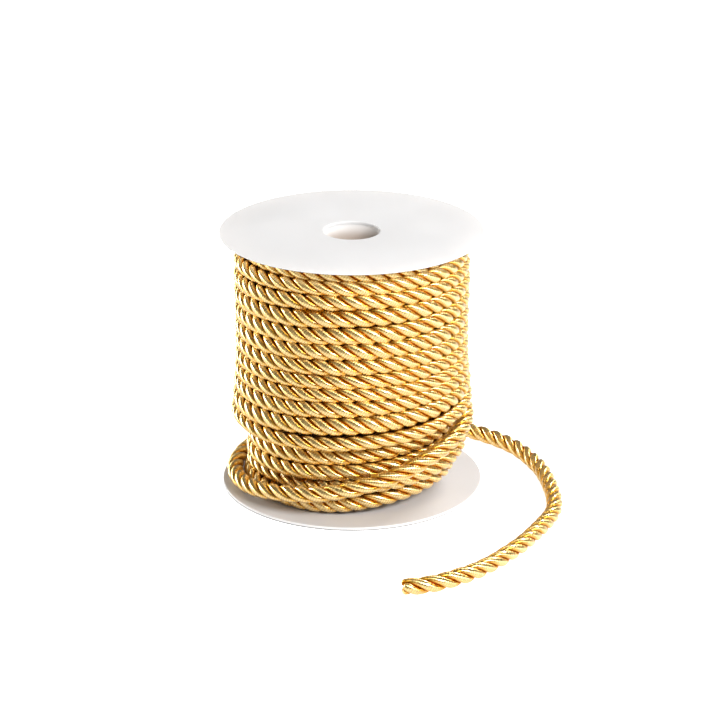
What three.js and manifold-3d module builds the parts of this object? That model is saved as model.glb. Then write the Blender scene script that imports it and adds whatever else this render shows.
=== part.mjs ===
// Twisted metallic cord wound on a plain plastic spool, with a slack last turn and a loose end on the table.
// Millimetres, +Z up. The origin is the centre of the lower flange's underside, on the table.
// The front is -Y. Angles are measured from +X towards +Y, in degrees.
import * as THREE from "three";
import { mergeVertices } from "three/addons/utils/BufferGeometryUtils.js";
import Module from "manifold-3d";

const wasm = await Module();
wasm.setup();

// Clearance that neighbouring pieces keep.
const clearance = 0.3;

// The spool: two thin discs on a tube.
const spoolHeight = 79;
const flangeRadius = 39;
const flangeThickness = 1;
const rimBevel = 0.25;
const boreRadius = 8.4;
const hubRadius = 12.5;
const spoolSides = 64;

// The cord: three plies laid up right-handed.
const cordDiameter = 5;
const cordRadius = cordDiameter / 2;
const pliesInCord = 3;
const layLength = 15;
const layStep = 2.4;
const grooveShare = 0.62;
const flankShare = 0.85;

// The winding. Turns are counted upwards from the lowest, and each is measured where it passes the front.
const frontAngle = -100;
const turnSpacing = 5;
const ridgeHeight = 2.4;
const shoulderRise = 1.75;
const shoulderReach = 1.7;
const grooveReach = 0.4;
const windingColumns = 60;
const rowsPerTurn = 4;
const turnsAbove = 16;
// The lowest turns lie one layer deeper. The outer layer starts where the slack turn joins the winding.
const lastInnerTurn = 3;
const firstOuterTurn = 4;
const outerLayerStart = 3.36;
const turnTable = [
  { turn: 0, height: 4.0, radius: 29.0, tip: 1.2 },
  { turn: 1, height: 9.5, radius: 29.0, tip: 1.6 },
  { turn: 2, height: 14.3, radius: 29.0, tip: 1.7 },
  { turn: 3, height: 18.9, radius: 29.0, tip: 1.7 },
  { turn: 4, height: 24.9, radius: 33.8, tip: 1.6 },
  { turn: 5, height: 30.5, radius: 33.3, tip: 1.6 },
  { turn: 6, height: 35.6, radius: 32.8, tip: 1.7 },
  { turn: 7, height: 39.9, radius: 32.5, tip: 1.8 },
  { turn: 8, height: 44.0, radius: 32.3, tip: 1.7 },
  { turn: 9, height: 48.6, radius: 32.3, tip: 1.7 },
  { turn: 10, height: 53.4, radius: 32.4, tip: 1.7 },
  { turn: 11, height: 58.2, radius: 32.5, tip: 1.6 },
  { turn: 12, height: 63.3, radius: 32.6, tip: 1.3 },
  { turn: 13, height: 68.5, radius: 32.5, tip: 0.9 },
  { turn: 14, height: 73.0, radius: 32.2, tip: 0.4 },
  { turn: 15, height: 77.6, radius: 31.8, tip: 0.1 },
];

// The slack turn, from the winding at the right back, round the front and down on to the lower flange.
const slackTurn = [
  { angle: 25, radius: 34.3, height: 22.5 },
  { angle: 10, radius: 34.3, height: 22.2 },
  { angle: -10, radius: 34.4, height: 21.5 },
  { angle: -30, radius: 34.5, height: 20.1 },
  { angle: -50, radius: 34.5, height: 17.4 },
  { angle: -70, radius: 34.6, height: 14.3 },
  { angle: -90, radius: 34.8, height: 11.4 },
  { angle: -110, radius: 35.0, height: 8.9 },
  { angle: -130, radius: 35.1, height: 6.9 },
  { angle: -150, radius: 35.2, height: 5.0 },
  { angle: -170, radius: 35.3, height: 4.0 },
  { angle: -190, radius: 35.3, height: 3.8 },
  { angle: -210, radius: 35.3, height: 3.8 },
  { angle: -230, radius: 35.3, height: 3.8 },
  { angle: -250, radius: 35.3, height: 3.8 },
  { angle: -266, radius: 35.5, height: 3.8 },
];

// The loose end, over the flange's edge at the right back and along the table to the front.
const looseEnd = [
  [13, 35.6, 3.8],
  [24, 34.6, 3.75],
  [33.5, 31.6, 3.0],
  [42.5, 26.3, 2.6],
  [50.7, 16.8, 2.55],
  [56.0, 4.4, 2.55],
  [58.8, -9, 2.55],
  [59.8, -21, 2.55],
  [58.8, -31, 2.55],
  [54.3, -42.5, 2.55],
  [47.4, -55.3, 2.55],
  [39.4, -66.2, 2.55],
  [31, -74.3, 2.55],
  [22.5, -79.8, 2.55],
  [14, -82, 2.55],
];

const plastic = new THREE.MeshStandardMaterial({ color: 0xf2f0ee, roughness: 0.4, metalness: 0 });
const goldCord = new THREE.MeshStandardMaterial({ color: 0xd9a23e, roughness: 0.35, metalness: 0.5 });

// A closed outline of (radius, height) points turned about the Z axis.
function turned(outline) {
  const points = outline.map(([radius, height]) => new THREE.Vector2(radius, height));
  points.push(points[0].clone());
  const geometry = new THREE.LatheGeometry(points, spoolSides);
  geometry.rotateX(Math.PI / 2);
  return geometry;
}

// A closed geometry as a solid that can be joined and cut.
function solidOf(geometry) {
  const bare = geometry.clone();
  bare.deleteAttribute("normal");
  bare.deleteAttribute("uv");
  const merged = mergeVertices(bare, 1e-4);
  const vertProperties = merged.getAttribute("position").array;
  const triVerts = new Uint32Array(merged.index.array);
  return new wasm.Manifold(new wasm.Mesh({ numProp: 3, vertProperties, triVerts }));
}

// A solid back as a geometry.
function geometryOf(solid) {
  const made = solid.getMesh();
  const geometry = new THREE.BufferGeometry();
  geometry.setAttribute("position", new THREE.BufferAttribute(made.vertProperties, made.numProp));
  geometry.setIndex(new THREE.BufferAttribute(made.triVerts, 1));
  geometry.computeVertexNormals();
  return geometry;
}

// A flange: a thin ring with a bevelled rim, its underside at the given height.
function flangeGeometry(underside) {
  const topside = underside + flangeThickness;
  return turned([
    [boreRadius, underside],
    [flangeRadius - rimBevel, underside],
    [flangeRadius, underside + rimBevel],
    [flangeRadius, topside - rimBevel],
    [flangeRadius - rimBevel, topside],
    [boreRadius, topside],
  ]);
}

// The space between the flanges, which hub and winding stand in.
const hubBottom = flangeThickness + clearance;
const hubTop = spoolHeight - flangeThickness - clearance;

function hubGeometry() {
  return turned([
    [boreRadius, hubBottom],
    [hubRadius, hubBottom],
    [hubRadius, hubTop],
    [boreRadius, hubTop],
  ]);
}

// One column of the turn table at a count of turns, straight between its rows and level past its ends.
function turnValue(turns, column) {
  const last = turnTable.length - 1;
  const lower = THREE.MathUtils.clamp(Math.floor(turns), 0, last - 1);
  const share = THREE.MathUtils.clamp(turns - lower, 0, 1);
  return THREE.MathUtils.lerp(turnTable[lower][column], turnTable[lower + 1][column], share);
}

// Centre height of the winding at a count of turns: its level at the front, tipped up to the right.
function turnHeight(turns) {
  const angle = THREE.MathUtils.degToRad(turns * 360 + frontAngle);
  const lean = Math.cos(angle) - Math.cos(THREE.MathUtils.degToRad(frontAngle));
  const beyond = turnSpacing * (Math.min(turns, 0) + Math.max(turns - turnTable.at(-1).turn, 0));
  const onFlange = hubBottom + ridgeHeight + turnSpacing * Math.min(turns, 0);
  return Math.max(turnValue(turns, "height") + beyond + turnValue(turns, "tip") * lean, onFlange);
}

// Centre radius of the winding: one layer deeper below the start of the outer layer.
function turnRadius(turns) {
  const row = turns < outerLayerStart ? Math.min(turns, lastInnerTurn) : Math.max(turns, firstOuterTurn);
  return turnValue(row, "radius");
}

// Radius and height of one row of the winding's ridged face: crest, upper shoulder, groove, lower shoulder.
function ridgePoint(turns, row) {
  const height = turnHeight(turns);
  const radius = turnRadius(turns);
  const next = turns + 1;
  if (row === 0) return [radius + ridgeHeight, height];
  if (row === 1) return [radius + shoulderReach, height + shoulderRise];
  if (row === 3) return [turnRadius(next) + shoulderReach, turnHeight(next) - shoulderRise];
  return [Math.min(radius, turnRadius(next)) + grooveReach, (height + turnHeight(next)) / 2];
}

// The winding's ridged face as a spiral grid: the last column joins the first one a turn higher up.
function ridgedGeometry() {
  const rows = turnsAbove * rowsPerTurn;
  const positions = [];
  const triangles = [];
  for (let column = 0; column < windingColumns; column++) {
    const share = column / windingColumns;
    const angle = THREE.MathUtils.degToRad(share * 360 + frontAngle);
    for (let row = 0; row <= rows; row++) {
      const turns = Math.floor(row / rowsPerTurn) - 1 + share;
      const [radius, height] = ridgePoint(turns, row % rowsPerTurn);
      positions.push(radius * Math.cos(angle), radius * Math.sin(angle), height);
    }
  }
  const at = (column, row) =>
    column < windingColumns ? column * (rows + 1) + row : row + rowsPerTurn;
  for (let column = 0; column < windingColumns; column++) {
    const lastRow = column < windingColumns - 1 ? rows : rows - rowsPerTurn;
    for (let row = 0; row < lastRow; row++) {
      const corners = [at(column, row), at(column + 1, row), at(column + 1, row + 1), at(column, row + 1)];
      triangles.push(corners[0], corners[1], corners[2], corners[0], corners[2], corners[3]);
    }
  }
  // The two open edges of the spiral are closed by fans to a point on the axis.
  const upperEdge = [];
  const lowerEdge = [];
  for (let column = 0; column < windingColumns; column++) {
    upperEdge.push(at(column, rows));
    lowerEdge.push(at(column, 0));
  }
  for (let row = 1; row <= rowsPerTurn; row++) {
    upperEdge.push(at(windingColumns - 1, rows - row));
    lowerEdge.push(at(0, rowsPerTurn + 1 - row));
  }
  const lowerCentre = positions.length / 3;
  const upperCentre = lowerCentre + 1;
  positions.push(0, 0, turnHeight(-1), 0, 0, turnHeight(turnsAbove - 1));
  upperEdge.forEach((corner, i) => {
    triangles.push(upperCentre, corner, upperEdge[(i + 1) % upperEdge.length]);
  });
  lowerEdge.forEach((corner, i) => {
    triangles.push(lowerCentre, lowerEdge[(i + 1) % lowerEdge.length], corner);
  });
  const geometry = new THREE.BufferGeometry();
  geometry.setAttribute("position", new THREE.Float32BufferAttribute(positions, 3));
  geometry.setIndex(triangles);
  return geometry;
}

// The winding: the ridged form, cut to the ring between hub and flanges.
function windingGeometry() {
  const inside = hubRadius + clearance;
  const ring = turned([
    [inside, hubBottom],
    [flangeRadius, hubBottom],
    [flangeRadius, hubTop],
    [inside, hubTop],
  ]);
  return geometryOf(solidOf(ridgedGeometry()).intersect(solidOf(ring)));
}

// A smooth path whose cross-section turns once in each lay length, so that what is drawn along it is twisted.
class TwistedPath extends THREE.CatmullRomCurve3 {
  computeFrenetFrames(segments, closed) {
    const frames = super.computeFrenetFrames(segments, closed);
    const twist = (2 * Math.PI * this.getLength()) / layLength / segments;
    frames.tangents.forEach((tangent, i) => {
      frames.normals[i].applyAxisAngle(tangent, twist * i);
      frames.binormals[i].applyAxisAngle(tangent, twist * i);
    });
    return frames;
  }
}

// The cord's section: for each ply a crest, two flanks and a groove beside the next ply.
function cordSection() {
  const shares = [1, flankShare, grooveShare, flankShare];
  const count = pliesInCord * shares.length;
  const points = [];
  for (let i = 0; i < count; i++) {
    const angle = (2 * Math.PI * i) / count;
    const reach = cordRadius * shares[i % shares.length];
    points.push(new THREE.Vector2(reach * Math.cos(angle), reach * Math.sin(angle)));
  }
  return new THREE.Shape(points);
}

// The slack turn and the loose end as one length of twisted cord.
function looseCordGeometry() {
  const turnPoints = slackTurn.map(({ angle, radius, height }) => {
    const around = THREE.MathUtils.degToRad(angle);
    return new THREE.Vector3(radius * Math.cos(around), radius * Math.sin(around), height);
  });
  const endPoints = looseEnd.map((place) => new THREE.Vector3(...place));
  const path = new TwistedPath([...turnPoints, ...endPoints], false, "centripetal");
  const steps = Math.round(path.getLength() / layStep);
  return new THREE.ExtrudeGeometry(cordSection(), { steps, extrudePath: path, bevelEnabled: false });
}

function piece(name, geometry, material) {
  const mesh = new THREE.Mesh(geometry, material);
  mesh.name = name;
  return mesh;
}

const spool = new THREE.Group();
spool.add(piece("bottom_flange", flangeGeometry(0), plastic));
spool.add(piece("hub_tube", hubGeometry(), plastic));
spool.add(piece("top_flange", flangeGeometry(spoolHeight - flangeThickness), plastic));

const cord = new THREE.Group();
cord.add(piece("wound_cord", windingGeometry(), goldCord));
cord.add(piece("loose_cord", looseCordGeometry(), goldCord));

const reel = new THREE.Group();
reel.add(spool, cord);

export default reel;
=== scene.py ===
import math

import bpy
import numpy as np
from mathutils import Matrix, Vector


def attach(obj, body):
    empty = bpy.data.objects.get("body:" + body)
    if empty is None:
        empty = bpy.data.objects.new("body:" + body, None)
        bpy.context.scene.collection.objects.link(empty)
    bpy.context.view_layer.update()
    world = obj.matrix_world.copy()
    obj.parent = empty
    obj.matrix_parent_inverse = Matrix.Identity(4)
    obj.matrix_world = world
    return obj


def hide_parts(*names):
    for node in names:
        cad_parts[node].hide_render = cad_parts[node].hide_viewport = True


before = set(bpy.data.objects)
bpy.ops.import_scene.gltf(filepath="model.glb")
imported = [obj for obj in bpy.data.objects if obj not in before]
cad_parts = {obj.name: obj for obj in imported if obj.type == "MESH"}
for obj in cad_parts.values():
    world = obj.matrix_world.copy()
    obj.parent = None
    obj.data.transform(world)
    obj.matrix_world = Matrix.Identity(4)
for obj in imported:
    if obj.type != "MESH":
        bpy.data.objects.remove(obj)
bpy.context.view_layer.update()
mm = 0.001
print("frame loaded")

# camera

cameraView = {
    "place": (0.0, -0.8004, 0.3480),
    "pitch": 21.16,  # degrees below level
    "turn": -0.17,  # degrees to the left of +Y
    "lens": 143.75,
    "sensor": 36.0,
    "nearest": 0.05,  # m from the camera, where things begin and stop to show
    "farthest": 20.0,
}


def makeCamera(view):
    data = bpy.data.cameras.new("studioCamera")
    data.lens = view["lens"]
    data.sensor_width = view["sensor"]
    data.clip_start = view["nearest"]
    data.clip_end = view["farthest"]
    camera = bpy.data.objects.new("studioCamera", data)
    camera.location = view["place"]
    camera.rotation_euler = (math.radians(90 - view["pitch"]), 0.0, math.radians(view["turn"]))
    bpy.context.scene.collection.objects.link(camera)
    bpy.context.scene.camera = camera


makeCamera(cameraView)
print("camera set")

# lines and meshes


def unit(vectors):
    # each vector over its own length
    return vectors / np.linalg.norm(vectors, axis=-1, keepdims=True)


def smoothLine(knots, perSpan=24):
    # centripetal Catmull-Rom: between knots b and c a cubic with end slopes m, where
    # m at b = gap * ((b - a) / ab - (c - a) / (ab + bc) + (c - b) / bc), gaps = sqrt(distance)
    knots = np.asarray(knots, float)
    whole = np.vstack([2 * knots[0] - knots[1], knots, 2 * knots[-1] - knots[-2]])
    gaps = np.sqrt(np.linalg.norm(np.diff(whole, axis=0), axis=1))[:, None]
    a, b, c, d = whole[:-3], whole[1:-2], whole[2:-1], whole[3:]
    ab, bc, cd = gaps[:-2], gaps[1:-1], gaps[2:]
    leave = ((b - a) / ab - (c - a) / (ab + bc) + (c - b) / bc) * bc
    reach = ((c - b) / bc - (d - b) / (bc + cd) + (d - c) / cd) * bc
    t = np.linspace(0, 1, perSpan, endpoint=False)[None, :, None]
    spans = (
        (2 * t**3 - 3 * t**2 + 1) * b[:, None]
        + (t**3 - 2 * t**2 + t) * leave[:, None]
        + (3 * t**2 - 2 * t**3) * c[:, None]
        + (t**3 - t**2) * reach[:, None]
    )
    return np.vstack([spans.reshape(-1, 3), knots[-1:]])


def runOf(line):
    # length along the line up to each of its points
    return np.concatenate([[0.0], np.cumsum(np.linalg.norm(np.diff(line, axis=0), axis=1))])


def evenly(line, spacing, first=()):
    # the same line with its points the same length apart, after any closer ones at its start
    run = runOf(line)
    regular = np.linspace(spacing if first else 0.0, run[-1], int(run[-1] / spacing) + 2)
    stations = np.concatenate([np.array(first, float), regular])
    return np.stack([np.interp(stations, run, line[:, i]) for i in range(3)], axis=1)


def tubeArrays(grid, alongU, closedRows=False):
    # grid[row, column]: quads between neighbours, columns closed round; open ends get fans
    rows, columns = grid.shape[:2]
    index = np.arange(rows * columns).reshape(rows, columns)
    ring = np.arange(columns)
    ahead = (ring + 1) % columns
    last = rows if closedRows else rows - 1
    near = index[np.arange(last)]
    far = index[(np.arange(last) + 1) % rows]
    quads = np.stack([near, near[:, ahead], far[:, ahead], far], axis=-1).reshape(-1, 4)
    v0 = np.broadcast_to(ring / columns, (last, columns))
    v1 = v0 + 1 / columns
    u0 = np.broadcast_to(alongU[:last, None], (last, columns))
    u1 = np.broadcast_to(alongU[1 : last + 1, None], (last, columns))
    cornerPairs = ((u0, v0), (u0, v1), (u1, v1), (u1, v0))
    quadUv = np.stack([np.stack(pair, axis=-1) for pair in cornerPairs], axis=2).reshape(-1, 2)
    points = grid.reshape(-1, 3)
    if closedRows:
        return points, quads, quadUv, np.zeros((0, 3), int), np.zeros((0, 2))
    middles = np.stack([grid[0].mean(axis=0), grid[-1].mean(axis=0)])
    start, end = len(points), len(points) + 1
    fans = np.vstack([
        np.stack([np.full(columns, start), index[0, ahead], index[0]], axis=-1),
        np.stack([np.full(columns, end), index[-1], index[-1, ahead]], axis=-1),
    ])
    fanUv = np.zeros((len(fans) * 3, 2))
    fanUv[: columns * 3, 0] = alongU[0]
    fanUv[columns * 3 :, 0] = alongU[-1]
    return np.vstack([points, middles]), quads, quadUv, fans, fanUv


def meshPiece(name, tubes, stands=(), closedRows=False):
    # several tubes as one mesh object at the origin; each tube is its grid of points in mm, its U along
    # the length and how far each point stands out of the winding, from -1 to 1
    offset = 0
    points, corners, uv, totals, smooth, standing = [], [], [], [], [], []
    for tube in tubes:
        tubePoints, quads, quadUv, fans, fanUv = tubeArrays(tube["grid"] * mm, tube["u"], closedRows)
        points.append(tubePoints)
        corners += [(quads + offset).ravel(), (fans + offset).ravel()]
        uv += [quadUv, fanUv]
        totals += [np.full(len(quads), 4), np.full(len(fans), 3)]
        smooth += [np.ones(len(quads), bool), np.zeros(len(fans), bool)]
        standing += [tube["outward"].ravel(), np.zeros(len(tubePoints) - tube["outward"].size)]
        offset += len(tubePoints)
    points, corners, uv = np.vstack(points), np.concatenate(corners), np.vstack(uv)
    totals, smooth = np.concatenate(totals), np.concatenate(smooth)
    mesh = bpy.data.meshes.new(name)
    mesh.vertices.add(len(points))
    mesh.vertices.foreach_set("co", points.astype(np.float32).ravel())
    mesh.loops.add(len(corners))
    mesh.loops.foreach_set("vertex_index", corners.astype(np.int32))
    mesh.polygons.add(len(totals))
    starts = np.concatenate([[0], np.cumsum(totals)[:-1]])
    mesh.polygons.foreach_set("loop_start", starts.astype(np.int32))
    mesh.polygons.foreach_set("loop_total", totals.astype(np.int32))
    mesh.update(calc_edges=True)
    mesh.polygons.foreach_set("use_smooth", smooth)
    layer = mesh.uv_layers.new(name="UVMap")
    layer.data.foreach_set("uv", uv.astype(np.float32).ravel())
    outward = mesh.attributes.new("outward", "FLOAT", "POINT")
    outward.data.foreach_set("value", np.concatenate(standing).astype(np.float32))
    mesh.update()
    piece = bpy.data.objects.new(name, mesh)
    bpy.context.scene.collection.objects.link(piece)
    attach(piece, "root")
    if stands:
        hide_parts(*stands)
    print(name, len(totals), "faces")
    return piece


# the cord's route

# Each turn where it passes the front: turn, height, radius, and how far it falls to the left and rises
# to the right of there.
windingTurns = {
    "frontAngle": -100.0,
    "outer": [
        (4, 24.9, 33.8, 1.6, 1.6),
        (5, 30.4, 33.3, 1.8, 1.2),
        (6, 35.5, 32.8, 1.9, 0.5),
        (7, 39.8, 32.5, 2.0, 0.0),
        (8, 43.9, 32.3, 1.9, 0.0),
        (9, 48.4, 32.3, 1.8, 0.0),
        (10, 53.2, 32.4, 1.8, 0.0),
        (11, 58.1, 32.5, 1.8, 0.0),
        (12, 63.2, 32.6, 1.7, 0.0),
        (13, 68.1, 32.5, 1.6, 0.0),
        (14, 72.4, 32.3, 0.9, 0.2),
        (14.35, 73.4, 32.2, 0.4, 0.2),
        (14.6, 75.0, 31.5, 0.1, 0.0),
        (14.8, 75.4, 30.7, 0.0, 0.0),
        (15, 75.5, 30.5, 0.0, 0.0),
        (15.2, 75.3, 30.2, 0.0, 0.0),
        (15.45, 74.9, 26.0, 0.0, 0.0),
    ],
    "inner": [
        (-0.45, 3.8, 30.4, 0.0, 0.0),
        (-0.1, 3.9, 30.0, 0.0, 0.0),
        (0, 4.0, 29.4, 2.6, 2.6),
        (0.3, 6.0, 28.8, 2.2, 2.2),
        (0.7, 8.4, 30.1, 1.6, 1.6),
        (0.80, 8.7, 29.2, 1.6, 1.6),
        (0.88, 8.8, 27.0, 1.8, 1.8),
        (0.94, 9.0, 27.2, 1.8, 1.8),
        (1.02, 9.7, 29.8, 1.9, 1.9),
        (1.15, 10.4, 31.8, 2.0, 2.0),
        (1.35, 11.4, 31.8, 1.8, 1.8),
        (1.75, 13.2, 29.4, 1.7, 1.7),
        (2, 14.3, 29.8, 1.7, 1.7),
        (3, 18.9, 29.0, 1.7, 1.7),
        (4, 23.7, 29.0, 1.7, 1.7),
        (5, 28.5, 28.8, 1.8, 1.0),
        (14, 71.0, 28.4, 0.6, 0.0),
        (14.3, 74.6, 27.6, 0.2, 0.0),
        (14.55, 75.4, 27.2, 0.0, 0.0),
        (15.1, 75.4, 27.2, 0.0, 0.0),
    ],
    "core": [
        (-1.4, 3.8, 23.8, 0.0, 0.0),
        (-0.4, 3.9, 24.0, 0.0, 0.0),
        (0.5, 8.4, 24.4, 0.6, 0.6),
        (4, 26.0, 24.4, 1.7, 1.7),
    ],
    "innerEnds": (-0.45, 4.0),
    "hiddenEnds": (3.9, 15.1),
    "coreEnds": (-1.4, 4.0),
    "lowest": 3.75,  # mm, a cord that rests on the lower flange
    "softLean": 0.1,  # how gently the fall passes into the rise
}

rowSpacing = {"cord": 0.6, "inner": 0.7, "hidden": 1.3}  # mm

looseRoute = {
    # The slack turn, from the winding at the right back, round the front and down on to the lower flange:
    # angle, radius and height.
    "slackTurn": [
        (25, 34.3, 22.5),
        (10, 34.3, 22.2),
        (-10, 34.4, 21.5),
        (-30, 34.5, 20.1),
        (-50, 34.5, 17.4),
        (-70, 34.6, 14.3),
        (-90, 34.8, 11.4),
        (-110, 35.0, 8.9),
        (-130, 35.1, 6.9),
        (-150, 35.2, 5.0),
        (-170, 35.3, 4.0),
        (-190, 35.3, 3.8),
        (-210, 35.3, 3.8),
        (-230, 35.3, 3.8),
        (-250, 35.3, 3.8),
        (-266, 35.5, 3.8),
    ],
    # The loose end, over the flange's edge at the right back and along the table to the front: x, y, z.
    "looseEnd": [
        (13, 35.6, 3.8), (24, 34.6, 3.75), (33.5, 31.6, 3.0), (42.5, 26.3, 2.6), (50.7, 16.8, 2.55),
        (56.0, 4.4, 2.55), (58.8, -9, 2.55), (59.8, -21, 2.55), (58.8, -31, 2.55), (54.3, -42.5, 2.55),
        (47.4, -55.3, 2.55), (39.4, -66.2, 2.55), (31, -74.3, 2.55), (22.5, -79.8, 2.55), (14, -82, 2.55),
    ],
    "joinTurn": 3.40,  # where the slack turn has become one of the wound ones
    "joinShift": (0.12, 0.12, 0.0),  # mm
    "endRows": (0.0, 0.05, 0.14, 0.28, 0.43),  # mm from the cut end, where the plies close
}


def around(radius, degrees, height):
    # (r cos a, r sin a, z)
    angle = np.radians(degrees)
    return np.stack([radius * np.cos(angle), radius * np.sin(angle), height + 0 * angle], axis=-1)


def turnKnots(table, first, last, perTurn=24):
    # angle = 360 turns + front angle, lean = cos angle - cos front angle,
    # height = front height + left fall * lean below 0 + right rise * lean above 0, with a soft change over
    rows = np.array(table, float)
    turns = np.linspace(first, last, int((last - first) * perTurn) + 1)
    height, radius, fall, rise = (np.interp(turns, rows[:, 0], rows[:, i]) for i in (1, 2, 3, 4))
    angle = turns * 360 + windingTurns["frontAngle"]
    lean = np.cos(np.radians(angle)) - math.cos(math.radians(windingTurns["frontAngle"]))
    size = np.sqrt(lean**2 + windingTurns["softLean"] ** 2)
    height = height + fall * (lean - size) / 2 + rise * (lean + size) / 2
    return around(radius, angle, np.maximum(height, windingTurns["lowest"]))


slackRows = np.array(looseRoute["slackTurn"], float)
slackKnots = around(slackRows[:, 1], slackRows[:, 0], slackRows[:, 2])
looseKnots = np.vstack([slackKnots, np.array(looseRoute["looseEnd"], float)])
lastTurn = windingTurns["outer"][-1][0]
outerKnots = turnKnots(windingTurns["outer"], looseRoute["joinTurn"], lastTurn)
outerKnots[0] = (slackKnots[0] + outerKnots[1]) / 2 + np.array(looseRoute["joinShift"])
cordKnots = np.vstack([looseKnots[::-1], outerKnots])
cordLine = evenly(smoothLine(cordKnots), rowSpacing["cord"], first=looseRoute["endRows"])
looseCount = int(np.argmin(np.linalg.norm(cordLine - slackKnots[0], axis=1)))
innerKnots = turnKnots(windingTurns["inner"], *windingTurns["innerEnds"])
hiddenKnots = turnKnots(windingTurns["inner"], *windingTurns["hiddenEnds"])
coreKnots = turnKnots(windingTurns["core"], *windingTurns["coreEnds"])
innerLine = evenly(smoothLine(innerKnots), rowSpacing["inner"])
hiddenLine = evenly(smoothLine(hiddenKnots), rowSpacing["hidden"])
coreLine = evenly(smoothLine(coreKnots), rowSpacing["hidden"])
cordRun = runOf(cordLine)
looseLength = cordRun[looseCount]
print("route: loose", round(looseLength), "mm, outer", round(cordRun[-1] - looseLength), "mm")

# the cord's plies

cordStyle = {
    "diameter": 5.0,
    "plies": 3,
    "helixRadius": 1.26,
    "plyRadius": 1.27,
    "plyFlatness": 0.95,  # thickness of a ply out from the cord's middle, against its width
    "plyFullness": 2.3,  # 2 is an ellipse, more has a flatter crest and tighter shoulders
    "looseLay": 15.0,  # mm of cord to one full turn of the plies
    "woundLay": 13.9,
    "sides": 16,
    "hiddenSides": 8,
    "innerSeed": 4.0,
    "hiddenSeed": 5.0,
    "coreSeed": 6.0,
    "layWander": 0.25,  # radians
    "layWaves": ((93, 1.0), (37, 0.5)),  # mm long and how strong
    "plyUneven": 0.035,  # share of the ply's size
    "plyWaves": ((23, 0.7), (9.1, 0.6)),
    "endRound": 0.9,  # mm over which the cut end's plies close
    "endOpen": 0.02,  # what is left open at the very end, as a share of the area
    "endGather": 0.25,  # how far the plies draw together there
    "uvPerMm": 0.1,
    "turnHeight": 4.5,  # mm between turns at which the cord keeps its round section
    "squeeze": (0.9, 1.14),  # least and most height of the section, against a round one
    "underFlange": 0.95,  # squeeze of the last turns, under the upper flange
    "underFlangeFrom": 14,  # turns
    "settle": 60.0,  # mm of the wound cord over which the squeeze comes in
    "wobble": 0.10,  # mm up and down along the winding
    "wobbleWaves": ((171, 1.0), (61, 0.6)),
    "wobbleSeed": 2.0,
}


def wander(run, sizes, seed, firstPhase=1.7):
    # a slow, uneven wave along the cord: sines of unrelated lengths, each starting elsewhere
    total = 0 * run
    for i, (length, share) in enumerate(sizes):
        total = total + share * np.sin(2 * np.pi * run / length + seed * (firstPhase + i))
    return total


def cordTubes(line, style, lay, squeeze=1.0, sides=None, seed=1.0, cutStart=False, shown=None):
    # side = up x travel, top = travel x side; a ply's middle turns round them once in each lay length,
    # its own section is a superellipse, and outward = offset from the cord's middle, away from the spool's
    # axis, over the cord's radius
    sides = sides or style["sides"]
    run = runOf(line)
    travel = unit(np.gradient(line, axis=0))
    side = unit(np.cross([0.0, 0.0, 1.0], travel))
    top = np.cross(travel, side)
    away = unit(line * (1.0, 1.0, 0.0))
    step = np.diff(run, prepend=0.0)
    turn = np.cumsum(2 * np.pi * step / lay) + style["layWander"] * wander(run, style["layWaves"], seed)
    ring = np.linspace(0, 2 * np.pi, sides, endpoint=False)
    power = 2 / style["plyFullness"]
    # sign(cos) |cos|^(2/n) out and sign(sin) |sin|^(2/n) across
    crest = np.sign(np.cos(ring)) * np.abs(np.cos(ring)) ** power
    flank = np.sign(np.sin(ring)) * np.abs(np.sin(ring)) ** power
    # the cut end's plies close in a quarter circle: sqrt(1 - (1 - distance / length)^2)
    closing = 1 - np.clip(run / style["endRound"], 0, 1) if cutStart else 0 * run
    ending = np.sqrt(1 - (1 - style["endOpen"]) * closing**2)
    gathered = 1 - style["endGather"] * np.exp(-run / style["endRound"]) * cutStart
    tubes = []
    for ply in range(style["plies"]):
        phase = (turn + 2 * np.pi * ply / style["plies"])[:, None]
        out = np.cos(phase) * side + np.sin(phase) * top
        swell = 1 + style["plyUneven"] * wander(run, style["plyWaves"], seed + ply)
        middle = line + (style["helixRadius"] * swell * gathered)[:, None] * out
        along = unit(np.gradient(middle, axis=0))
        out = unit(out - (out * along).sum(axis=1, keepdims=True) * along)
        across = np.cross(along, out)
        radius = (style["plyRadius"] * swell * ending)[:, None, None]
        shape = style["plyFlatness"] * crest[:, None] * out[:, None] + flank[:, None] * across[:, None]
        grid = middle[:, None] + radius * shape
        offset = grid - line[:, None]
        rise = (offset * top[:, None]).sum(axis=-1, keepdims=True)
        grid = grid + (np.reshape(squeeze, (-1, 1, 1)) - 1) * rise * top[:, None]
        outward = (offset * away[:, None]).sum(axis=-1) * 2 / style["diameter"]
        # where the cord is not yet wound, outward is held near 1, so the painted recess shade stays off it
        if shown is not None:
            outward = 1 + (outward - 1) * shown[:, None]
        tubes.append({"grid": grid, "u": runOf(middle) * style["uvPerMm"], "outward": outward})
    return tubes


def stretchOf(tubes, first, last):
    # the same rows of every ply
    return [{key: rows[first : last + 1] for key, rows in tube.items()} for tube in tubes]


outerTable = np.array(windingTurns["outer"], float)
cordAngle = np.degrees(np.unwrap(np.arctan2(cordLine[:, 1], cordLine[:, 0])))
turnAt = lastTurn + (cordAngle - cordAngle[-1]) / 360
halfUp = np.interp(turnAt + 0.5, outerTable[:, 0], outerTable[:, 1])
halfDown = np.interp(turnAt - 0.5, outerTable[:, 0], outerTable[:, 1])
woundSqueeze = np.clip((halfUp - halfDown) / cordStyle["turnHeight"], *cordStyle["squeeze"])
woundSqueeze[turnAt > cordStyle["underFlangeFrom"]] = cordStyle["underFlange"]
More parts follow.
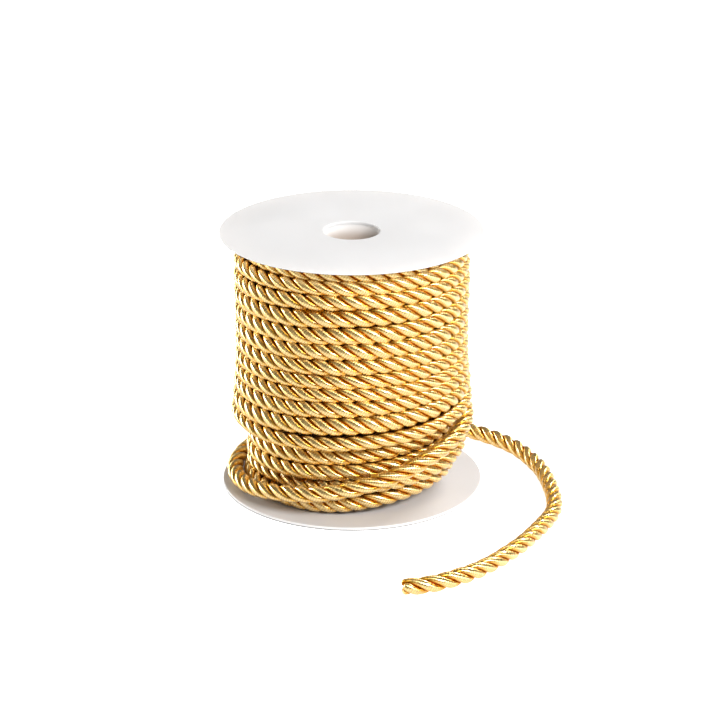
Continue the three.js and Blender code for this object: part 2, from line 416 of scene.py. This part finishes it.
# 0 on the loose cord and 1 once it is wound
isWound = np.clip((cordRun - looseLength) / cordStyle["settle"], 0, 1)
cordSqueeze = 1 + isWound * (woundSqueeze - 1)
woundLay = cordStyle["woundLay"]
cordLay = cordStyle["looseLay"] + isWound * (woundLay - cordStyle["looseLay"])
upDown = cordStyle["wobble"] * isWound * wander(cordRun, cordStyle["wobbleWaves"], cordStyle["wobbleSeed"])
cordLine = cordLine + upDown[:, None] * np.array([0.0, 0.0, 1.0])

cordPlies = cordTubes(cordLine, cordStyle, cordLay, cordSqueeze, cutStart=True, shown=isWound)
innerPlies = cordTubes(innerLine, cordStyle, woundLay, seed=cordStyle["innerSeed"])
hiddenPlies = []
for line, seed in ((hiddenLine, cordStyle["hiddenSeed"]), (coreLine, cordStyle["coreSeed"])):
    hiddenPlies += cordTubes(line, cordStyle, woundLay, sides=cordStyle["hiddenSides"], seed=seed)
lastRow = len(cordLine) - 1
middleRow = (looseCount + lastRow) // 2
looseCord = meshPiece("looseCord", stretchOf(cordPlies, 0, looseCount), ("loose_cord",))
lowerRows = stretchOf(cordPlies, looseCount, middleRow)
lowerWinding = meshPiece("lowerWinding", lowerRows, ("wound_cord",))
upperWinding = meshPiece("upperWinding", stretchOf(cordPlies, middleRow, lastRow))
innerTurns = meshPiece("innerTurns", innerPlies)
hiddenTurns = meshPiece("hiddenTurns", hiddenPlies)

print("cord laid")

# stray threads

threadStyle = {
    "seed": 11,
    "radius": 0.07,
    "points": 14,
    "sides": 5,
    # where they come loose: table, turn in it, spread in turns, height and radius from there, how many
    "places": [
        ("outer", 12.985, 0.035, -2.4, 1.6, 14),
        ("inner", 0.93, 0.030, 2.2, 2.6, 12),
    ],
    "length": (2.5, 7.0),
    "stray": 0.55,  # mm up and down
    "strayInward": 0.5,  # share of that in and out
    "halfWaves": (1, 2, 3),  # along a thread
}


def threadTubes(style):
    # each thread runs along the turn with waves of its own up and down and in and out
    dice = np.random.default_rng(style["seed"])
    t = np.linspace(0, 1, style["points"])
    ring = np.linspace(0, 2 * np.pi, style["sides"], endpoint=False)
    waves = np.sin(np.outer(style["halfWaves"], t * np.pi))
    tubes = []
    for tableName, turn, spread, up, outBy, count in style["places"]:
        rows = np.array(windingTurns[tableName], float)
        for _ in range(count):
            start = turn + dice.uniform(-spread, spread)
            reach = dice.uniform(*style["length"])
            turnHeight = turnKnots(windingTurns[tableName], start, start)[0, 2]
            radius = np.interp(start, rows[:, 0], rows[:, 2]) + outBy
            angle = start * 360 + windingTurns["frontAngle"] + np.degrees(t * reach / radius)
            upward, inward = dice.normal(0, style["stray"], (2, len(waves))) @ waves
            path = around(radius + inward * style["strayInward"], angle, turnHeight + up + upward)
            travel = unit(np.gradient(path, axis=0))
            side = unit(np.cross([0.0, 0.0, 1.0], travel))
            top = np.cross(travel, side)
            circle = np.cos(ring)[:, None] * side[:, None] + np.sin(ring)[:, None] * top[:, None]
            grid = path[:, None] + style["radius"] * circle
            u = runOf(path) * cordStyle["uvPerMm"]
            tubes.append({"grid": grid, "u": u, "outward": np.ones(grid.shape[:2])})
    return tubes


strayThreads = meshPiece("strayThreads", threadTubes(threadStyle))
print("threads strayed")

# the spool

spoolStyle = {
    "height": 79.0,
    "flangeRadius": 39.0,
    "flangeThickness": 1.0,
    "upperTaper": 0.7,  # mm by which the upper flange thins towards its rim, on its underside
    "taperRadius": 33.0,
    "taperRound": 1.0,
    "boreRadius": 8.4,
    "hubRadius": 12.5,
    "hubGap": 0.02,
    "rimRound": 0.14,
    "lipRound": 0.20,
    "seamRound": 0.03,  # where the flanges' bores meet the hub's
    "flangeSteps": 6,  # points on each rounded corner
    "hubSteps": 3,
    "segments": 240,
}


def roundedLine(corners, rounds, steps):
    # each corner becomes a quadratic curve from a point before it to a point after it
    corners = np.array(corners, float)
    before = corners + unit(np.roll(corners, 1, axis=0) - corners) * np.array(rounds)[:, None]
    after = corners + unit(np.roll(corners, -1, axis=0) - corners) * np.array(rounds)[:, None]
    t = np.linspace(0, 1, steps)[None, :, None]
    curve = (1 - t) ** 2 * before[:, None] + 2 * t * (1 - t) * corners[:, None] + t**2 * after[:, None]
    return curve.reshape(-1, 2)


def turnedPiece(name, profile, node, segments):
    # (radius, height) points carried round the Z axis
    angle = np.linspace(0, 2 * np.pi, segments, endpoint=False)
    grid = np.stack([
        np.cos(angle)[:, None] * profile[None, :, 0],
        np.sin(angle)[:, None] * profile[None, :, 0],
        np.broadcast_to(profile[None, :, 1], (segments, len(profile))),
    ], axis=-1)
    tube = {"grid": grid, "u": np.linspace(0, 1, segments + 1), "outward": np.ones(grid.shape[:2])}
    return meshPiece(name, [tube], (node,), closedRows=True)


def flangeProfile(style, underside, taper):
    top = underside + style["flangeThickness"]
    corners = [
        (style["boreRadius"], top),
        (style["flangeRadius"], top),
        (style["flangeRadius"], underside + taper),
        (style["taperRadius"], underside),
        (style["boreRadius"], underside),
    ]
    rounds = [style[key] for key in ("lipRound", "rimRound", "rimRound", "taperRound", "seamRound")]
    return roundedLine(corners, rounds, style["flangeSteps"])


def hubProfile(style, low, high):
    corners = [
        (style["boreRadius"], high),
        (style["hubRadius"], high),
        (style["hubRadius"], low),
        (style["boreRadius"], low),
    ]
    return roundedLine(corners, [style["seamRound"]] * len(corners), style["hubSteps"])


upperUnderside = spoolStyle["height"] - spoolStyle["flangeThickness"]
hubLow = spoolStyle["flangeThickness"] + spoolStyle["hubGap"]
hubHigh = upperUnderside - spoolStyle["hubGap"]
tubeProfile = hubProfile(spoolStyle, hubLow, hubHigh)
lowerProfile = flangeProfile(spoolStyle, 0.0, 0.0)
upperProfile = flangeProfile(spoolStyle, upperUnderside, spoolStyle["upperTaper"])
lowerFlange = turnedPiece("lowerFlange", lowerProfile, "bottom_flange", spoolStyle["segments"])
upperFlange = turnedPiece("upperFlange", upperProfile, "top_flange", spoolStyle["segments"])
hub = turnedPiece("hub", tubeProfile, "hub_tube", spoolStyle["segments"] // 2)
print("spool made")

# materials


def newMaterial(name):
    material = bpy.data.materials.new(name)
    material.use_nodes = True
    return material, material.node_tree, material.node_tree.nodes["Principled BSDF"]


def feed(tree, socket, value):
    # a socket takes a link from another, or a number or colour of its own
    if isinstance(value, bpy.types.NodeSocket):
        tree.links.new(value, socket)
    else:
        socket.default_value = value


def placeOnSkin(tree):
    # a point's own U along the piece and V round its section
    uv = tree.nodes.new("ShaderNodeUVMap")
    uv.uv_map = "UVMap"
    parts = tree.nodes.new("ShaderNodeSeparateXYZ")
    tree.links.new(uv.outputs["UV"], parts.inputs[0])
    return parts.outputs["X"], parts.outputs["Y"]


def mathNode(tree, operation, a, b=None):
    # one step of arithmetic
    node = tree.nodes.new("ShaderNodeMath")
    node.operation = operation
    feed(tree, node.inputs[0], a)
    if b is not None:
        feed(tree, node.inputs[1], b)
    return node.outputs[0]


def mapRange(tree, value, low, high, toLow=0.0, toHigh=1.0, soft=True):
    node = tree.nodes.new("ShaderNodeMapRange")
    node.interpolation_type = "SMOOTHSTEP" if soft else "LINEAR"
    feed(tree, node.inputs["Value"], value)
    for socket, number in zip(("From Min", "From Max", "To Min", "To Max"), (low, high, toLow, toHigh)):
        node.inputs[socket].default_value = number
    return node.outputs["Result"]


def mixColour(tree, factor, a, b):
    # a where the factor is 0 and b where it is 1
    node = tree.nodes.new("ShaderNodeMix")
    node.data_type = "RGBA"
    feed(tree, node.inputs["Factor"], factor)
    feed(tree, node.inputs["A"], a)
    feed(tree, node.inputs["B"], b)
    return node.outputs["Result"]


cordLook = {
    "crest": (0.97, 0.71, 0.28, 1),
    # flank and groove colours are painted shade and warm bounce light between the plies
    "flank": (0.90, 0.49, 0.05, 1),
    "groove": (0.38, 0.10, 0.0, 1),
    # painted shade, dark brown, in the recesses between the wound turns
    "recessShade": (0.13, 0.03, 0.0, 1),
    # painted shade in the valleys between the wraps' ribs
    "ribValleyShade": (0.50, 0.22, 0.01, 1),
    "crestToFlank": (0.85, 0.25),  # cosine of the place round the ply
    "flankToGroove": (0.42, -0.12),
    "recessRange": (0.42, -0.02),  # how far out of the winding
    "recessShare": 0.85,
    "ribPitch": 0.60,  # mm
    "ribRange": (0.0, -0.9),  # height of the rib's wave at which its valley begins and is full
    "ribShare": 0.40,
    "metal": 0.95,
    "glance": (1.0, 0.74, 0.34, 1),  # tint of the metal seen at a low angle
    "roughness": (0.25, 0.38),
    "stretch": 1.0,
    "coatRoughness": 0.13,
    "coatIndex": 1.65,
    "threadLength": 0.5,  # mm along the ply
    "threadWidth": 1.5,  # mm round it
    "threadDetail": 2.0,
    "threadRange": (0.3, 0.7),  # of the noise, from dark and glossy threads to light and dull ones
    "tone": (0.82, 1.12),
    "ribHeight": 0.10,
    "threadHeight": 0.30,
    "bumpDistance": 0.0001,
}


def cordMaterial(look, style):
    material, tree, shader = newMaterial("goldCord")
    along, aroundPly = placeOnSkin(tree)
    # ribs of the wrapping: their phase runs along the ply and gains one rib each time round
    ribs = mathNode(tree, "MULTIPLY", along, 1 / style["uvPerMm"] / look["ribPitch"])
    ribs = mathNode(tree, "ADD", ribs, aroundPly)
    wave = mathNode(tree, "SINE", mathNode(tree, "MULTIPLY", ribs, 2 * math.pi))
    # uneven threads: noise on a cylinder of the ply's own round, so that it has no seam
    angle = mathNode(tree, "MULTIPLY", aroundPly, 2 * math.pi)
    crestward = mathNode(tree, "COSINE", angle)
    sideways = mathNode(tree, "SINE", angle)
    reach = style["plyRadius"] / look["threadWidth"]
    cylinder = tree.nodes.new("ShaderNodeCombineXYZ")
    feed(tree, cylinder.inputs["X"], mathNode(tree, "MULTIPLY", crestward, reach))
    feed(tree, cylinder.inputs["Y"], mathNode(tree, "MULTIPLY", sideways, reach))
    length = mathNode(tree, "MULTIPLY", along, 1 / style["uvPerMm"] / look["threadLength"])
    feed(tree, cylinder.inputs["Z"], length)
    threads = tree.nodes.new("ShaderNodeTexNoise")
    threads.inputs["Scale"].default_value = 1.0
    threads.inputs["Detail"].default_value = look["threadDetail"]
    tree.links.new(cylinder.outputs["Vector"], threads.inputs["Vector"])
    uneven = threads.outputs["Fac"]
    # painted shade by the place round the ply: the colour turns more orange from crest to flank and dark in
    # the groove between plies, where shade and warm bounce light fall; and painted shade in the deep place
    # between two turns
    isGrooveShade = mapRange(tree, crestward, *look["flankToGroove"])
    colour = mixColour(tree, mapRange(tree, crestward, *look["crestToFlank"]), look["crest"], look["flank"])
    colour = mixColour(tree, isGrooveShade, colour, look["groove"])
    # painted shade where the cord sinks into the winding, between turns
    outward = tree.nodes.new("ShaderNodeAttribute")
    outward.attribute_name = "outward"
    isRecessShade = mapRange(tree, outward.outputs["Fac"], *look["recessRange"], 0.0, look["recessShare"])
    colour = mixColour(tree, isRecessShade, colour, look["recessShade"])
    # painted shade darkens each rib's valley
    isValleyShade = mapRange(tree, wave, *look["ribRange"], 0.0, look["ribShare"])
    colour = mixColour(tree, isValleyShade, colour, look["ribValleyShade"])
    shade = tree.nodes.new("ShaderNodeHueSaturation")
    feed(tree, shade.inputs["Color"], colour)
    tone = mapRange(tree, uneven, *look["threadRange"], *look["tone"], soft=False)
    feed(tree, shade.inputs["Value"], tone)
    feed(tree, shader.inputs["Base Color"], shade.outputs["Color"])
    dullness = mapRange(tree, uneven, *look["threadRange"], *look["roughness"], soft=False)
    feed(tree, shader.inputs["Roughness"], dullness)
    shader.inputs["Metallic"].default_value = look["metal"]
    shader.inputs["Specular Tint"].default_value = look["glance"]
    shader.inputs["Anisotropic"].default_value = look["stretch"]
    # the film on the threads, the coat, is taken off where shade is painted into the grooves and recesses,
    # to keep that painted shade dark
    coatOutOfShade = mathNode(tree, "SUBTRACT", 1.0, mathNode(tree, "MAXIMUM", isGrooveShade, isRecessShade))
    feed(tree, shader.inputs["Coat Weight"], coatOutOfShade)
    shader.inputs["Coat Roughness"].default_value = look["coatRoughness"]
    shader.inputs["Coat IOR"].default_value = look["coatIndex"]
    tangent = tree.nodes.new("ShaderNodeTangent")
    tangent.direction_type = "UV_MAP"
    tangent.uv_map = "UVMap"
    tree.links.new(tangent.outputs["Tangent"], shader.inputs["Tangent"])
    ribbed = mathNode(tree, "MULTIPLY", wave, look["ribHeight"])
    threaded = mathNode(tree, "MULTIPLY", uneven, look["threadHeight"])
    height = mathNode(tree, "ADD", ribbed, threaded)
    bump = tree.nodes.new("ShaderNodeBump")
    bump.inputs["Strength"].default_value = 1.0
    bump.inputs["Distance"].default_value = look["bumpDistance"]
    feed(tree, bump.inputs["Height"], height)
    feed(tree, shader.inputs["Normal"], bump.outputs["Normal"])
    return material


plasticLook = {
    # upper and lower faces are one plastic; the lower face is painted darker, as the shade under the upper
    # flange and the cord
    "upperFace": (0.76, 0.755, 0.759, 1),
    "shadedLowerFace": (0.65, 0.640, 0.644, 1),
    # painted light: the rim wall, the bore lip and the bore are a lighter tone of the same plastic
    "rim": (0.84, 0.835, 0.84, 1),
    # painted contact shadow: a dark hairline on the lower rounding of each flange's rim
    "edge": (0.12, 0.115, 0.11, 1),
    # stops round the flange's section: bore lip, upper face, rim, lower edge with its painted contact
    # shadow, underside, bore
    "stops": [(0.0, "rim"), (0.13, "rim"), (0.16, "face"), (0.205, "face"), (0.24, "rim"), (0.385, "rim"),
              (0.40, "edge"), (0.54, "edge"), (0.565, "face"), (0.90, "face"), (0.95, "rim")],
    "boreTop": (0.95, 0.94, 0.93, 1),
    # painted shade and warm bounce light down inside the bore
    "boreShade": (0.48, 0.405, 0.35, 1),
    "boreFade": (0.0785, 0.0735),  # m
    "cloudRange": (0.35, 0.65),
    "cloudTone": (0.985, 1.0),  # of the colour
    "subsurface": 0.5,
    "subsurfaceRadius": (1.0, 0.95, 0.92),
    "subsurfaceScale": 0.0015,  # m
    "cloudScale": 55.0,
    "cloudDetail": 4.0,
    "gloss": 0.30,
    "glossSpread": 0.09,
    "grainScale": 700.0,
    "grain": 0.08,
    "grainDepth": 0.0001,  # m
}


def grainGroup(look):
    # clouding, gloss and fine grain of moulded plastic, from the place on the spool
    group = bpy.data.node_groups.new("mouldedGrain", "ShaderNodeTree")
    for name in ("Cloud Scale", "Gloss", "Gloss Spread", "Grain Scale", "Grain"):
        group.interface.new_socket(name, in_out="INPUT", socket_type="NodeSocketFloat")
    group.interface.new_socket("Cloud", in_out="OUTPUT", socket_type="NodeSocketFloat")
    group.interface.new_socket("Roughness", in_out="OUTPUT", socket_type="NodeSocketFloat")
    group.interface.new_socket("Normal", in_out="OUTPUT", socket_type="NodeSocketVector")
    given = group.nodes.new("NodeGroupInput")
    result = group.nodes.new("NodeGroupOutput")
    place = group.nodes.new("ShaderNodeTexCoord")
    cloud = group.nodes.new("ShaderNodeTexNoise")
    cloud.inputs["Detail"].default_value = look["cloudDetail"]
    group.links.new(place.outputs["Object"], cloud.inputs["Vector"])
    group.links.new(given.outputs["Cloud Scale"], cloud.inputs["Scale"])
    cloudy = mapRange(group, cloud.outputs["Fac"], *look["cloudRange"])
    group.links.new(cloudy, result.inputs["Cloud"])
    spread = mathNode(group, "MULTIPLY", cloudy, given.outputs["Gloss Spread"])
    group.links.new(mathNode(group, "ADD", given.outputs["Gloss"], spread), result.inputs["Roughness"])
    fine = group.nodes.new("ShaderNodeTexNoise")
    group.links.new(place.outputs["Object"], fine.inputs["Vector"])
    group.links.new(given.outputs["Grain Scale"], fine.inputs["Scale"])
    bump = group.nodes.new("ShaderNodeBump")
    bump.inputs["Distance"].default_value = look["grainDepth"]
    group.links.new(given.outputs["Grain"], bump.inputs["Strength"])
    group.links.new(fine.outputs["Fac"], bump.inputs["Height"])
    group.links.new(bump.outputs["Normal"], result.inputs["Normal"])
    return group


def plasticMaterial(name, look, group):
    # milky plastic with the shared grain, and a node to shade its colour by the clouding
    material, tree, shader = newMaterial(name)
    grain = tree.nodes.new("ShaderNodeGroup")
    grain.node_tree = group
    for socket, key in (("Cloud Scale", "cloudScale"), ("Gloss", "gloss"), ("Gloss Spread", "glossSpread"),
                        ("Grain Scale", "grainScale"), ("Grain", "grain")):
        grain.inputs[socket].default_value = look[key]
    tree.links.new(grain.outputs["Roughness"], shader.inputs["Roughness"])
    tree.links.new(grain.outputs["Normal"], shader.inputs["Normal"])
    shader.inputs["Subsurface Weight"].default_value = look["subsurface"]
    shader.inputs["Subsurface Radius"].default_value = look["subsurfaceRadius"]
    shader.inputs["Subsurface Scale"].default_value = look["subsurfaceScale"]
    shade = tree.nodes.new("ShaderNodeHueSaturation")
    feed(tree, shade.inputs["Value"], mapRange(tree, grain.outputs["Cloud"], 0.0, 1.0, *look["cloudTone"]))
    feed(tree, shader.inputs["Base Color"], shade.outputs["Color"])
    return material, tree, shade.inputs["Color"]


def flangeMaterial(name, look, face, group):
    # V runs round the flange's section, so a ramp on it finds the face, the rim and the lip; rim and lip
    # get painted light
    material, tree, colour = plasticMaterial(name, look, group)
    section = tree.nodes.new("ShaderNodeValToRGB")
    ramp = section.color_ramp
    # stops are added anywhere first, and each then goes to its own place
    anywhere = 0.5
    while len(ramp.elements) < len(look["stops"]):
        ramp.elements.new(anywhere)
    for element, (position, place) in zip(ramp.elements, look["stops"]):
        element.position = position
        element.color = look[face] if place == "face" else look[place]
    aroundSection = placeOnSkin(tree)[1]
    tree.links.new(aroundSection, section.inputs["Fac"])
    tree.links.new(section.outputs["Color"], colour)
    return material


def hubMaterial(look, group):
    # painted shade: pale at the bore's mouth and warmer and darker down inside, where shade and warm light
    # from the gold cord fall
    material, tree, colour = plasticMaterial("hubPlastic", look, group)
    place = tree.nodes.new("ShaderNodeTexCoord")
    parts = tree.nodes.new("ShaderNodeSeparateXYZ")
    tree.links.new(place.outputs["Object"], parts.inputs[0])
    depth = mapRange(tree, parts.outputs["Z"], *look["boreFade"])
    feed(tree, colour, mixColour(tree, depth, look["boreTop"], look["boreShade"]))
    return material


goldCord = cordMaterial(cordLook, cordStyle)
for piece in (looseCord, lowerWinding, upperWinding, innerTurns, hiddenTurns, strayThreads):
    piece.data.materials.append(goldCord)
mouldedGrain = grainGroup(plasticLook)
# the lower flange gets its face painted darker with shade
lowerFlange.data.materials.append(flangeMaterial("shadedLowerPlastic", plasticLook, "shadedLowerFace", mouldedGrain))
upperFlange.data.materials.append(flangeMaterial("upperPlastic", plasticLook, "upperFace", mouldedGrain))
hub.data.materials.append(hubMaterial(plasticLook, mouldedGrain))
print("materials made")

# floor and light

studio = {
    "floorSize": 12.0,
    "floorHeight": -0.0001,
    "floorColour": (0.93, 0.93, 0.93, 1),
    "floorRoughness": 0.8,
    "floorGlow": 0.20,
    "floorGlowSeen": 0.80,  # more, for the camera alone, so that the paper is white to the picture's edge
    "world": (0.20, 0.192, 0.178, 1),  # the rest of the room
    "aim": (0.0, 0.0, 0.035),
    # brightness is what a lamp's face looks like, with white paper in full light as 1
    "lights": [
        {"name": "key", "place": (0.46, -0.60, 0.54), "size": (0.45, 0.24), "brightness": 28.0},
        {"name": "left", "place": (-0.80, 0.36, 0.16), "size": (0.5, 0.22), "brightness": 19.0},
        {"name": "rear", "place": (0.50, 0.42, 0.65), "size": (0.5, 0.11), "brightness": 32.0},
    ],
}


def makeFloor(settings):
    half = settings["floorSize"] / 2
    mesh = bpy.data.meshes.new("floor")
    corners = [(-half, -half), (half, -half), (half, half), (-half, half)]
    mesh.from_pydata([(x, y, settings["floorHeight"]) for x, y in corners], [], [(0, 1, 2, 3)])
    floor = bpy.data.objects.new("floor", mesh)
    bpy.context.scene.collection.objects.link(floor)
    material, tree, shader = newMaterial("floorPaper")
    shader.inputs["Base Color"].default_value = settings["floorColour"]
    shader.inputs["Roughness"].default_value = settings["floorRoughness"]
    shader.inputs["Emission Color"].default_value = (1, 1, 1, 1)
    seen = tree.nodes.new("ShaderNodeLightPath").outputs["Is Camera Ray"]
    glow = mathNode(tree, "MULTIPLY", seen, settings["floorGlowSeen"])
    feed(tree, shader.inputs["Emission Strength"], mathNode(tree, "ADD", glow, settings["floorGlow"]))
    floor.data.materials.append(material)


def makeLights(settings):
    for lamp in settings["lights"]:
        data = bpy.data.lights.new(lamp["name"], "AREA")
        data.shape = "RECTANGLE"
        data.size, data.size_y = lamp["size"]
        data.energy = lamp["brightness"] * math.pi * lamp["size"][0] * lamp["size"][1]
        light = bpy.data.objects.new(lamp["name"], data)
        light.location = lamp["place"]
        aim = Vector(settings["aim"]) - Vector(lamp["place"])
        light.rotation_euler = aim.to_track_quat("-Z", "Y").to_euler()
        bpy.context.scene.collection.objects.link(light)
    world = bpy.data.worlds.new("studio")
    world.use_nodes = True
    world.node_tree.nodes["Background"].inputs["Color"].default_value = settings["world"]
    bpy.context.scene.world = world
    bpy.context.scene.view_settings.view_transform = "Standard"


makeFloor(studio)
makeLights(studio)
print("studio lit")
